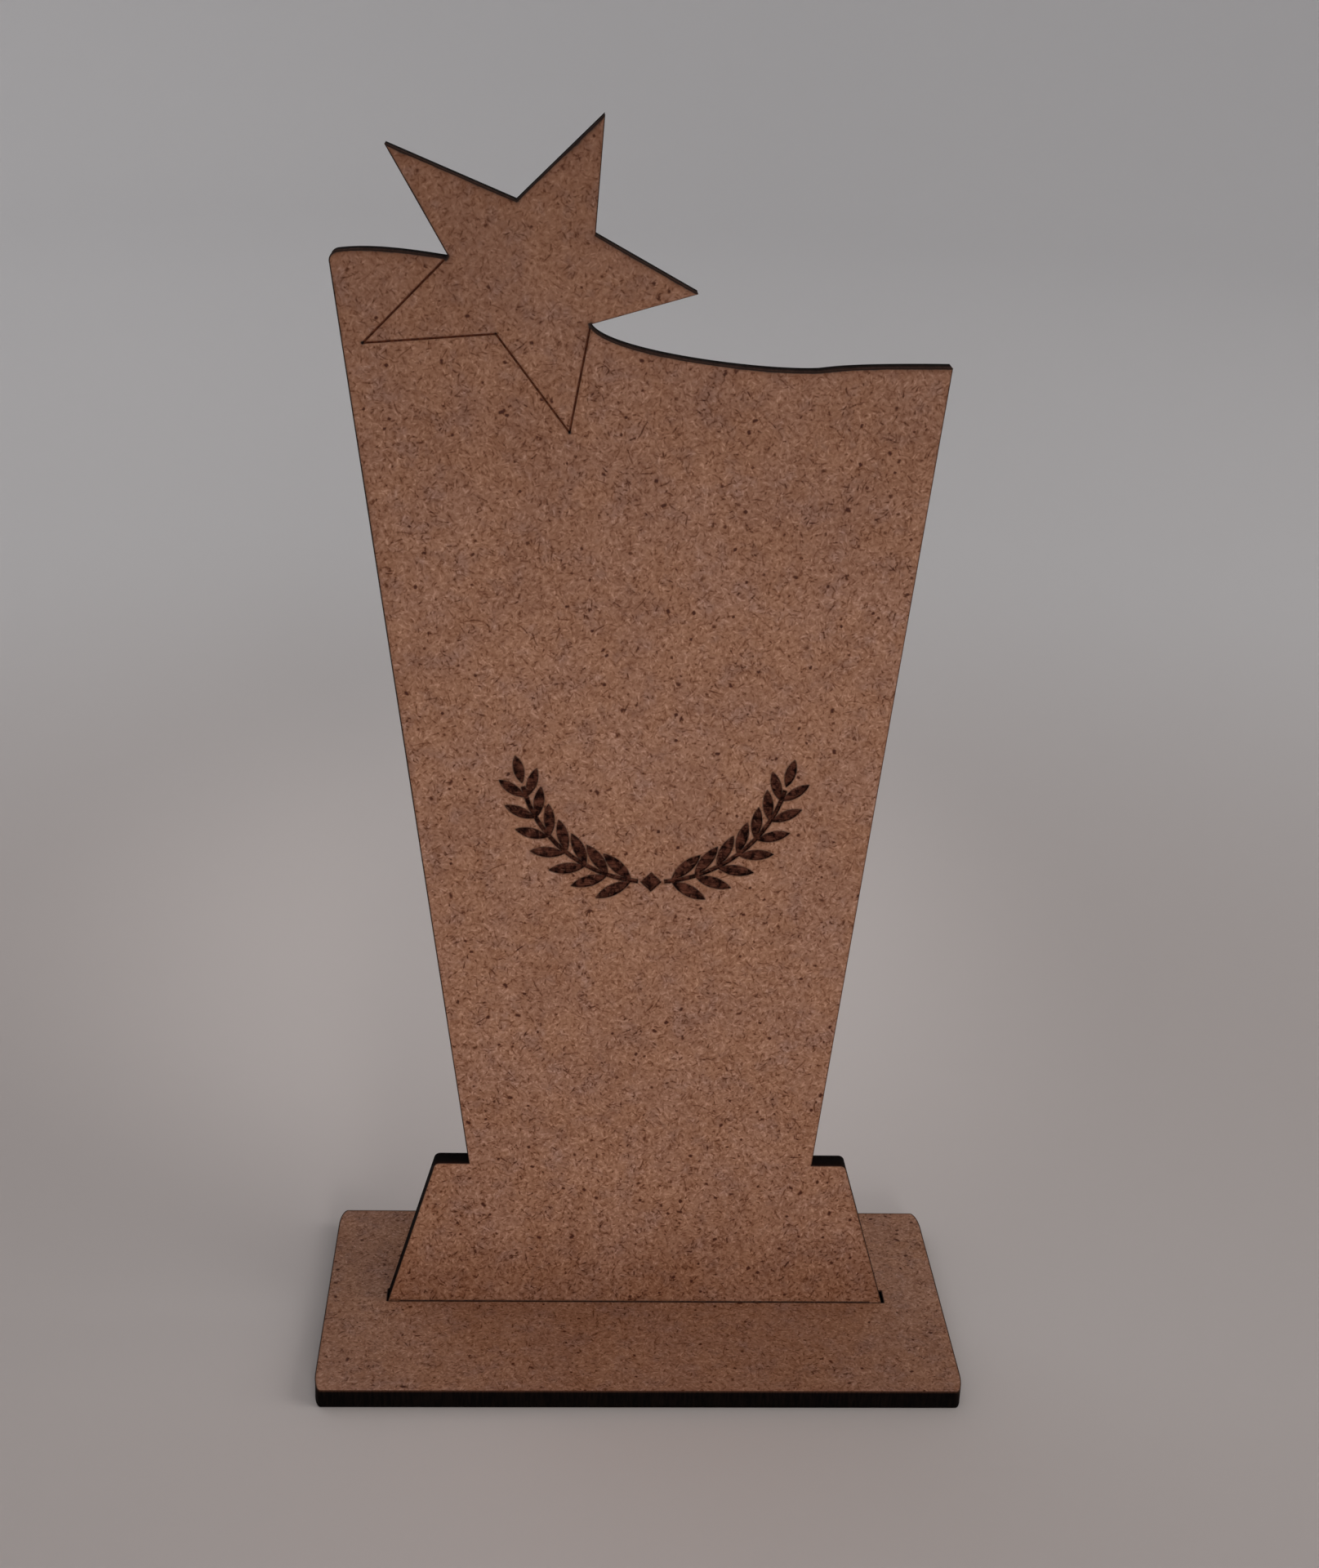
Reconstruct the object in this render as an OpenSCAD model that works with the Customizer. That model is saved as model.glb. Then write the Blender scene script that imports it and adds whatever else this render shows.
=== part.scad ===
// Star trophy: an upright plaque with a star in its upper left corner,
// standing in a slot in a flat base plate. Both pieces are laser-cut from one
// sheet of brown fibreboard. Millimetres, +Z up. The origin is on the
// surface that the trophy stands on, under the middle of the base. The front
// of the plaque faces -Y.

/* [Sheet] */
// Thickness of the board that both pieces are cut from
sheet_t = 3.1; // [2.6:0.1:4]

/* [Base plate] */
// Width of the base, left to right
base_w = 100; // [94:1:130]
// Depth of the base, front to back
base_d = 50; // [40:1:70]
// How far the corners of the base are rounded off along its width
base_corner_x = 1.2; // [0.5:0.1:4]
// How far the corners of the base are rounded off along its depth
base_corner_y = 4.5; // [0.5:0.1:8]

/* [Slot] */
// Play between the plaque and each long wall of the slot
slot_gap = 0.15; // [0.05:0.05:0.3]
// Play between the tongue of the plaque and the left end of the slot
slot_left_gap = 0.1; // [0.05:0.05:0.5]
// Play between the tongue of the plaque and the right end of the slot
slot_right_gap = 0.4; // [0.05:0.05:0.5]

/* [Foot of the plaque] */
// Width of the foot where it meets the base, and of its tongue in the slot
foot_bottom_w = 80.4; // [76:0.2:84]
// Width of the foot at its shoulders
foot_top_w = 65.1; // [60:0.1:70]
// Height of the shoulders above the table
foot_h = 28.9; // [24:0.1:34]
// Radius of the outer corners of the shoulders
shoulder_r = 1; // [0.5:0.25:2]

/* [Panel] */
// Width of the panel where it leaves the shoulders
neck_w = 54.4; // [52:0.1:58]
// Angle that the left side of the panel leans outward
flare_left = 7.8; // [7.5:0.1:8.5]
// Angle that the right side of the panel leans outward
flare_right = 5.4; // [5:0.1:6.5]
// Radius of the upper left corner of the panel
panel_corner_r = 1.3; // [0.8:0.1:2.5]

/* [Laser marks] */
// Width of the line that marks the star on the panel
score_w = 0.3; // [0.2:0.05:0.6]
// Depth of that line
score_d = 0.4; // [0.2:0.1:0.8]
// Depth of the engraved ornament
engrave_d = 0.5; // [0.2:0.1:0.8]

/* [Hidden] */
$fn = 64;

board = [0.55, 0.39, 0.27];

// Slot cut through the base
slot_w = sheet_t + 2*slot_gap;
slot_l = foot_bottom_w + slot_left_gap + slot_right_gap;

// The ten corners of the star, seen from the front: tip and notch in turn,
// from the upper left tip on, clockwise
star = [[-38.8, 184.4], [-21.3, 177.5], [-9.7, 189], [-10.6, 173.3], [3.6, 165.8],
        [-11, 161.3], [-13.6, 146.3], [-23.9, 159.7], [-42, 158], [-30.4, 170]];

// Corners of the star that lie on the panel, where a scored line marks it
scored = [5, 6, 7, 8, 9];

// Half width of the foot at a height, and of the panel to the left and right
function foot_x(z) = foot_bottom_w/2 - (z - sheet_t)*(foot_bottom_w - foot_top_w)/2/(foot_h - sheet_t);
function left_x(z) = neck_w/2 + (z - foot_h)*tan(flare_left);
function right_x(z) = neck_w/2 + (z - foot_h)*tan(flare_right);

// Point on a cubic curve, from its far end (t = 1) to its near end (t = 0)
function bez(p, t) = pow(1 - t, 3)*p[0] + 3*pow(1 - t, 2)*t*p[1]
                   + 3*(1 - t)*t*t*p[2] + pow(t, 3)*p[3];
function bez_back(p, n, last) = [for (i = [0:last]) bez(p, 1 - i/n)];
// Points on an arc about c with half axes r, from angle a to angle b
function arc_points(c, r, a, b, n) =
    [for (i = [0:n]) c + [r[0]*cos(a + (b - a)*i/n), r[1]*sin(a + (b - a)*i/n)]];

// Centres of the rounded right shoulder and of the upper left corner
foot_lean = atan((foot_bottom_w - foot_top_w)/2/(foot_h - sheet_t));
shoulder_z = foot_h - shoulder_r;
shoulder_x = foot_x(shoulder_z) - shoulder_r/cos(foot_lean);
crest_z = 170.3;
crest_rise = 9;
corner_z = crest_z - panel_corner_r;
corner_x = -left_x(corner_z) + panel_corner_r/cos(flare_left);

// Top edge of the panel, seen from the front: a low crest from the rounded left
// corner to the star, and on the other side of the star a long hollow that ends
// in a short level stretch
right_z = 156.6;
wave_left = [[corner_x, corner_z] + panel_corner_r*[cos(90 + crest_rise), sin(90 + crest_rise)],
             [-41, 170.95], [-35.5, 170.35], [-30.7, 169.7]];
wave_mid = [[-11, 161.3], [-9.9, 157.3], [13.3, 155], [21, 155.6]];
wave_right = [[21, 155.6], [23.2, 155.9], [25.8, 156.4], [right_x(right_z), right_z]];

// Whole outline of the plaque, counter-clockwise from the lower left corner:
// tongue, foot, right shoulder, right side, top edge, star, crest, left side, left shoulder
module outline_2d() {
    sr = [shoulder_r, shoulder_r];
    polygon(concat(
        [[-foot_bottom_w/2, sheet_t], [-foot_bottom_w/2, 0], [foot_bottom_w/2, 0], [foot_bottom_w/2, sheet_t]],
        arc_points([shoulder_x, shoulder_z], sr, foot_lean, 90, 6),
        [[neck_w/2, foot_h]],
        bez_back(wave_right, 8, 7),
        bez_back(wave_mid, 16, 15),
        [for (i = [5, 4, 3, 2, 1, 0, 9]) star[i]],
        bez_back(wave_left, 8, 7),
        arc_points([corner_x, corner_z], [panel_corner_r, panel_corner_r], 90 + crest_rise, 180 + flare_left, 8),
        [[-neck_w/2, foot_h]],
        arc_points([-shoulder_x, shoulder_z], sr, 90, 180 - foot_lean, 6)));
}

// Outline of the base: its corners are rounded more along the sides than along the front
module base_2d() {
    x = base_w/2 - base_corner_x;
    y = base_d/2 - base_corner_y;
    r = [base_corner_x, base_corner_y];
    polygon(concat(
        arc_points([x, -y], r, -90, 0, 10), arc_points([x, y], r, 0, 90, 10),
        arc_points([-x, y], r, 90, 180, 10), arc_points([-x, -y], r, 180, 270, 10)));
}

// Line of even width with round ends
module stroke_2d(a, b, w) {
    d = b - a;
    translate(a) rotate(atan2(d[1], d[0])) {
        translate([0, -w/2]) square([norm(d), w]);
        circle(d = w, $fn = 24);
        translate([norm(d), 0]) circle(d = w, $fn = 24);
    }
}

// The scored line: down, up and round the part of the star that lies on the panel
module score_2d() {
    for (i = [0:len(scored) - 2]) stroke_2d(star[scored[i]], star[scored[i + 1]], score_w);
}

// Pointed leaf that starts at the origin and runs along +X
module leaf_2d(l, w) {
    r = (l*l + w*w)/4/w;
    translate([l/2, 0]) intersection() {
        translate([0, r - w/2]) circle(r);
        translate([0, w/2 - r]) circle(r);
    }
}

// Ornament: two leafy sprigs that curve up from a small diamond
sprig_r = 20;
sprig_pairs = 7;
sprig_end = 76;
module sprig_2d() {
    // stem
    intersection() {
        translate([0, sprig_r]) difference() {
            circle(sprig_r + 0.3);
            circle(sprig_r - 0.3);
        }
        translate([2, -1]) square([sprig_r, sprig_r*(1 - cos(sprig_end)) + 1]);
    }
    // pairs of leaves, smaller towards the tip, and one leaf at the end
    for (i = [0:sprig_pairs - 1]) {
        a = 8 + 10.4*i;
        translate([sprig_r*sin(a), sprig_r*(1 - cos(a))]) for (s = [-1, 1])
            rotate(a + s*36) translate([0.4, 0]) leaf_2d(5.8 - 0.2*i, 1.75 - 0.05*i);
    }
    translate([sprig_r*sin(sprig_end), sprig_r*(1 - cos(sprig_end))]) rotate(sprig_end)
        translate([0.6, 0]) leaf_2d(4.4, 1.5);
}
module ornament_2d() {
    sprig_2d();
    mirror([1, 0]) sprig_2d();
    rotate(45) square(2.2, center = true);
}

// Turns an outline upright: the sheet's front face is at y = front
module upright(front, depth) {
    translate([0, front + depth, 0]) rotate([90, 0, 0]) linear_extrude(depth) children();
}

module base_plate() {
    color(board) difference() {
        linear_extrude(sheet_t) base_2d();
        translate([-foot_bottom_w/2 - slot_left_gap, -slot_w/2, -1]) cube([slot_l, slot_w, sheet_t + 2]);
    }
}

module plaque() {
    color(board) difference() {
        upright(-sheet_t/2, sheet_t) outline_2d();
        upright(-sheet_t/2 - 0.5, score_d + 0.5) score_2d();
        upright(-sheet_t/2 - 0.5, engrave_d + 0.5) translate([0, 78]) ornament_2d();
    }
}

base_plate();
plaque();
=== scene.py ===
"""Looks of the star trophy: two pieces of brown fibreboard, cut and marked by a laser.

Each piece is built as a fine mesh from its own outline: a face with the char that the
beam leaves along every cut, walls with the beam's drag lines, and marks cut into the
front as real grooves and pockets. Lengths are in millimetres until the mesh is made.
"""
import math

import bpy
import numpy as np
from mathutils import Matrix, Vector
from mathutils.geometry import delaunay_2d_cdt
from mathutils.kdtree import KDTree


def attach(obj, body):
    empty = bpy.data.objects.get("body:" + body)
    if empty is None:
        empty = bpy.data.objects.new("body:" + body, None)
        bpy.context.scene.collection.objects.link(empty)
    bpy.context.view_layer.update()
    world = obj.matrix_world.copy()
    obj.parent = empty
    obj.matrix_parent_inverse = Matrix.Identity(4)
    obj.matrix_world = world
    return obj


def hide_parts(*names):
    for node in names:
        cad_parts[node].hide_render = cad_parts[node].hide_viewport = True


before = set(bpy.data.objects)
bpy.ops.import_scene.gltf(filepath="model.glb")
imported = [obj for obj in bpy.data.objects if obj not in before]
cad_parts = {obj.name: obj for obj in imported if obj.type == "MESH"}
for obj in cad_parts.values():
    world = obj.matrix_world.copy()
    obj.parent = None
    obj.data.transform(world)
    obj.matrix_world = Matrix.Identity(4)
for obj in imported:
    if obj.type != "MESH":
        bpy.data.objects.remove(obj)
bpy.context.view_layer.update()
scene = bpy.context.scene
rng = np.random.default_rng(11)
MM = 0.001

# ---------------------------------------------------------------- dimensions
SHEET = 3.1
BASE_W, BASE_D, BASE_RX, BASE_RY = 100.0, 50.0, 1.2, 4.5
FOOT_BOTTOM, FOOT_TOP, FOOT_H, SHOULDER_R = 80.4, 65.1, 28.9, 1.0
SLOT_W, SLOT_LEFT, SLOT_RIGHT = SHEET + 0.3, -FOOT_BOTTOM / 2 - 0.1, FOOT_BOTTOM / 2 + 0.4
NECK, FLARE_L, FLARE_R, CORNER_R = 54.4, math.radians(7.8), math.radians(5.4), 1.3
CREST_Z, CREST_RISE, RIGHT_Z = 170.3, 9.0, 156.6
CREST_END = (-30.7, 169.7)
STAR = np.array([(-38.8, 184.4), (-21.3, 177.5), (-9.7, 189), (-10.6, 173.3), (3.6, 165.8),
                 (-11, 161.3), (-13.6, 146.3), (-23.9, 159.7), (-42, 158), (-30.4, 170)], float)
SCORE_W, SCORE_D, ENGRAVE_D = 0.3, 0.38, 0.5
STEP = 0.2          # distance between the points along a cut
ARRIS = 0.05        # how far the beam rounds the arris over


# ---------------------------------------------------------------- outlines
def bezier(p, n):
    t = np.linspace(0, 1, n + 1)[:, None]
    p = np.array(p, float)
    return (1 - t) ** 3 * p[0] + 3 * (1 - t) ** 2 * t * p[1] + 3 * (1 - t) * t * t * p[2] + t ** 3 * p[3]


def arc(c, r, a, b, n):
    t = np.radians(np.linspace(a, b, n + 1))
    rx, ry = r if isinstance(r, tuple) else (r, r)
    return np.stack([c[0] + rx * np.cos(t), c[1] + ry * np.sin(t)], 1)


def resample(loop, step):
    """The same closed loop with a point at least every step, and every old corner kept."""
    out = []
    for a, b in zip(loop, np.roll(loop, -1, 0)):
        n = max(1, int(math.ceil(np.linalg.norm(b - a) / step)))
        out += [a + (b - a) * k / n for k in range(n)]
    return np.array(out)


def tidy(points, eps=1e-4):
    out = [points[0]]
    for p in points[1:]:
        if np.linalg.norm(p - out[-1]) > eps:
            out.append(p)
    if np.linalg.norm(out[0] - out[-1]) < eps:
        out.pop()
    return np.array(out)


def left_x(z):
    return NECK / 2 + (z - FOOT_H) * math.tan(FLARE_L)


def right_x(z):
    return NECK / 2 + (z - FOOT_H) * math.tan(FLARE_R)


def foot_x(z):
    return FOOT_BOTTOM / 2 - (z - SHEET) * (FOOT_BOTTOM - FOOT_TOP) / 2 / (FOOT_H - SHEET)


def plaque_outline():
    """Tongue, foot, right shoulder, right side, top edge, star, crest, left side and left shoulder, counter-clockwise."""
    lean = math.degrees(math.atan((FOOT_BOTTOM - FOOT_TOP) / 2 / (FOOT_H - SHEET)))
    sz = FOOT_H - SHOULDER_R
    sx = foot_x(sz) - SHOULDER_R / math.cos(math.radians(lean))
    cz = CREST_Z - CORNER_R
    cx = -left_x(cz) + CORNER_R / math.cos(FLARE_L)
    up = math.radians(90 + CREST_RISE)
    wave_left = [(cx + CORNER_R * math.cos(up), cz + CORNER_R * math.sin(up)), (-41, 170.95), (-35.5, 170.35), CREST_END]
    wave_mid = [(-11, 161.3), (-9.9, 157.3), (13.3, 155), (21, 155.6)]
    wave_right = [(21, 155.6), (23.2, 155.9), (25.8, 156.4), (right_x(RIGHT_Z), RIGHT_Z)]
    f = FOOT_BOTTOM / 2
    parts = [np.array([(-f, SHEET), (-f, 0), (f, 0), (f, SHEET)], float),
             arc((sx, sz), SHOULDER_R, lean, 90, 12),
             np.array([(NECK / 2, FOOT_H)], float),
             bezier(wave_right, 40)[::-1],
             bezier(wave_mid, 60)[::-1],
             STAR[[5, 4, 3, 2, 1, 0, 9]],
             bezier(wave_left, 30)[::-1],
             arc((cx, cz), CORNER_R, 90 + CREST_RISE, 180 + math.degrees(FLARE_L), 16),
             np.array([(-NECK / 2, FOOT_H)], float),
             arc((-sx, sz), SHOULDER_R, 90, 180 - lean, 12)]
    return resample(tidy(np.concatenate(parts)), STEP)


def base_outline():
    x, y, r = BASE_W / 2 - BASE_RX, BASE_D / 2 - BASE_RY, (BASE_RX, BASE_RY)
    parts = [arc((x, -y), r, -90, 0, 24), arc((x, y), r, 0, 90, 24),
             arc((-x, y), r, 90, 180, 24), arc((-x, -y), r, 180, 270, 24)]
    return resample(tidy(np.concatenate(parts)), STEP)


def slot_outline():
    x0, x1, y, r = SLOT_LEFT, SLOT_RIGHT, SLOT_W / 2, 0.12
    parts = [arc((x1 - r, -y + r), r, -90, 0, 3), arc((x1 - r, y - r), r, 0, 90, 3),
             arc((x0 + r, y - r), r, 90, 180, 3), arc((x0 + r, -y + r), r, 180, 270, 3)]
    return resample(tidy(np.concatenate(parts)), STEP)[::-1]      # clockwise: a hole


def band(path, hw):
    """Closed outline, counter-clockwise, of a line of half width hw with round ends and round outer corners."""
    path = np.array(path, float)
    d = np.diff(path, axis=0)
    d /= np.linalg.norm(d, axis=1)[:, None]
    nrm = np.stack([-d[:, 1], d[:, 0]], 1)                        # to the left

    def side(points, dirs, norms):
        out = []
        for i in range(1, len(points) - 1):
            n0, n1 = norms[i - 1], norms[i]
            turn = dirs[i - 1][0] * dirs[i][1] - dirs[i - 1][1] * dirs[i][0]
            if turn > 0:                                          # the left is the inside of the bend
                m = n0 + n1
                out.append(points[i] + hw * m / (1 + n0 @ n1))
            else:
                a0, a1 = math.atan2(n0[1], n0[0]), math.atan2(n1[1], n1[0])
                while a1 > a0:
                    a1 -= 2 * math.pi
                k = max(2, int((a0 - a1) / 0.5))
                out += [points[i] + hw * np.array([math.cos(a0 + (a1 - a0) * j / k), math.sin(a0 + (a1 - a0) * j / k)])
                        for j in range(k + 1)]
        return out

    left = [path[0] + hw * nrm[0]] + side(path, d, nrm) + [path[-1] + hw * nrm[-1]]
    back = path[::-1]
    d2 = -d[::-1]
    n2 = -nrm[::-1]
    right = [back[0] + hw * n2[0]] + side(back, d2, n2) + [back[-1] + hw * n2[-1]]
    cap1 = [path[-1] + hw * (math.cos(a) * nrm[-1] + math.sin(a) * d[-1]) for a in (0.8, 1.57, 2.34)]
    cap0 = [path[0] + hw * (math.cos(a) * n2[-1] + math.sin(a) * d2[-1]) for a in (0.8, 1.57, 2.34)]
    loop = np.array(left + cap1 + right + cap0)
    return tidy(loop)[::-1]


def score_path():
    """The line that marks the star on the panel. Its two ends stop just short of the cut edge."""
    p = STAR[[5, 6, 7, 8, 9]].copy()
    p[4] = CREST_END
    p[0] += 0.6 * (p[1] - p[0]) / np.linalg.norm(p[1] - p[0])
    p[4] += 0.35 * (p[3] - p[4]) / np.linalg.norm(p[3] - p[4])
    return p


# ---------------------------------------------------------------- the engraved ornament
def leaf(at, angle, length, width, lead=0.0):
    r = (length ** 2 + width ** 2) / 4 / width
    half = math.degrees(math.asin(length / 2 / r))
    n = max(6, int(length / 0.25))
    top = arc((length / 2, width / 2 - r), r, 90 + half, 90 - half, n)
    low = arc((length / 2, r - width / 2), r, 270 + half, 270 - half, n)
    pts = tidy(np.concatenate([top, low]))[::-1] + np.array([lead, 0])
    a = math.radians(angle)
    return pts @ np.array([[math.cos(a), math.sin(a)], [-math.sin(a), math.cos(a)]]) + np.array(at)


def ornament():
    """Closed outlines: two leafy sprigs that curve up from a small diamond."""
    at, r, end = np.array([0, 78.0]), 20.0, 76.0

    def stem_at(a):
        return r * math.sin(math.radians(a)), r * (1 - math.cos(math.radians(a)))

    side = []
    a0 = math.degrees(math.asin(2 / r))
    side.append(np.concatenate([arc((0, r), r + 0.3, 270 + a0, 270 + end, 90), arc((0, r), r - 0.3, 270 + end, 270 + a0, 90)]))
    for i in range(7):
        a = 8 + 10.4 * i
        for k in (-1, 1):
            side.append(leaf(stem_at(a), a + k * 36, 5.8 - 0.2 * i, 1.75 - 0.05 * i, 0.4))
    side.append(leaf(stem_at(end), end, 4.4, 1.5, 0.6))
    loops = side + [(q * np.array([-1, 1]))[::-1] for q in side]
    h = 2.2 / math.sqrt(2)
    loops.append(np.array([(h, 0), (0, h), (-h, 0), (0, -h)], float))
    return [resample(tidy(q + at), 0.25) for q in loops]


# ---------------------------------------------------------------- mesh making
def normals(loop):
    """Outward normal at each point of a counter-clockwise loop, lengthened at corners so that an inset stays parallel."""
    d = np.roll(loop, -1, 0) - loop
    d /= np.linalg.norm(d, axis=1)[:, None]
    e = np.stack([d[:, 1], -d[:, 0]], 1)
    p = np.roll(e, 1, 0)
    m = e + p
    return m / np.maximum(1 + (e * p).sum(1), 0.35)[:, None]


def smooth_noise(n, period, seed):
    """Smooth closed random line of n values, about -1 to 1, that changes over period samples."""
    g = np.random.default_rng(seed)
    k = max(4, int(n / period))
    v = g.uniform(-1, 1, k)
    x = np.arange(n) * k / n
    i = x.astype(int)
    f = x - i
    f = f * f * (3 - 2 * f)
    return v[i % k] * (1 - f) + v[(i + 1) % k] * f


def inside(p, loop):
    res = np.zeros(len(p), bool)
    x, y = p[:, 0], p[:, 1]
    for (x0, y0), (x1, y1) in zip(loop, np.roll(loop, -1, 0)):
        if y0 == y1:
            continue
        hit = (y0 > y) != (y1 > y)
        if hit.any():
            res ^= hit & (x < (x1 - x0) * (y - y0) / (y1 - y0) + x0)
    return res


class Near:
    """Distance from points to a set of loops."""

    def __init__(self, loops, closed=True):
        self.a, self.b, self.prev = [], [], []
        for q in loops:
            s = len(self.a)
            n = len(q)
            self.a += list(q)
            self.b += list(np.roll(q, -1, 0))
            self.prev += [s + (k - 1) % n for k in range(n)]
        self.a, self.b = np.array(self.a), np.array(self.b)
        self.tree = KDTree(len(self.a))
        for i, p in enumerate(self.a):
            self.tree.insert((p[0], p[1], 0), i)
        self.tree.balance()

    def seg(self, p, i):
        a, b = self.a[i], self.b[i]
        d = b - a
        t = np.clip(((p - a) * d).sum(1) / (d * d).sum(1), 0, 1)
        return np.linalg.norm(a + d * t[:, None] - p, axis=1)

    def index(self, p):
        return np.array([self.tree.find((q[0], q[1], 0))[1] for q in p])

    def __call__(self, p):
        p = np.asarray(p, float)
        i = self.index(p)
        prev = np.array(self.prev)[i]
        return np.minimum(self.seg(p, i), self.seg(p, prev))


def triangulate(loops, extra):
    """Triangles over all the loops' points and the extra points, with every loop edge kept."""
    pts, edges = [], []
    for q in loops:
        s = len(pts)
        pts += [Vector(map(float, p)) for p in q]
        edges += [(s + k, s + (k + 1) % len(q)) for k in range(len(q))]
    pts += [Vector(map(float, p)) for p in extra]
    v, _, f, ov, _, _ = delaunay_2d_cdt(pts, edges, [], 0, 1e-5, True)
    v = np.array([tuple(p) for p in v])
    f = np.array([t for t in f if len(t) == 3])
    where = {}
    for i, o in enumerate(ov):
        for k in o:
            where[k] = i
    return v, f, where


def slivers(v, f, where, loops):
    """Marks the triangles outside a cut that lie between three points in a row on a straight stretch of it."""
    at, s = {}, 0
    for n, q in enumerate(loops):
        for i in range(len(q)):
            at[where[s + i]] = (n, i)
        s += len(q)
    marked = np.zeros(len(f), bool)
    for k, t in enumerate(f):
        on = [at.get(int(i)) for i in t]
        if None in on or len({n for n, _ in on}) > 1:
            continue
        size = len(loops[on[0][0]])
        row = {i: v[j] for (_, i), j in zip(on, t)}
        for i in row:
            a, c = row.get((i - 1) % size), row.get((i + 1) % size)
            if a is not None and c is not None:
                d, e = row[i] - a, c - row[i]
                marked[k] = d[0] * e[1] - d[1] * e[0] <= 0
    return marked


def rings(loop, near, offsets, side, every=2):
    """Points beside a loop at each offset, kept only where no other cut is nearer."""
    n = normals(loop)
    n = n / np.linalg.norm(n, axis=1)[:, None]
    out = []
    for k, off in enumerate(offsets):
        p = loop[k % every::every] - side * n[k % every::every] * off
        out.append(p[near(p) > 0.85 * off])
    return np.concatenate(out)


class Build:
    def __init__(self):
        self.v, self.f, self.m, self.char, self.depth = [], [], [], [], []

    def add(self, pts, char, depth):
        s = len(self.v)
        self.v += [tuple(p) for p in pts]
        self.char += list(char)
        self.depth += list(depth)
        return s

    def object(self, name, materials):
        mesh = bpy.data.meshes.new(name)
        mesh.from_pydata([Vector(p) * MM for p in self.v], [], [tuple(int(i) for i in t) for t in self.f])
        for key, values in (("char", self.char), ("depth", self.depth)):
            a = mesh.attributes.new(key, "FLOAT", "POINT")
            a.data.foreach_set("value", np.array(values, np.float32))
        mesh.polygons.foreach_set("material_index", np.array(self.m, np.int32))
        for m in materials:
            mesh.materials.append(m)
        mesh.update()
        mesh.validate()
        o = bpy.data.objects.new(name, mesh)
        scene.collection.objects.link(o)
        return o


FACE, EDGE, POCKET, SCORE = 0, 1, 2, 3


def step(x, a, b):
    t = np.clip((x - a) / (b - a), 0, 1)
    return t * t * (3 - 2 * t)


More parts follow.
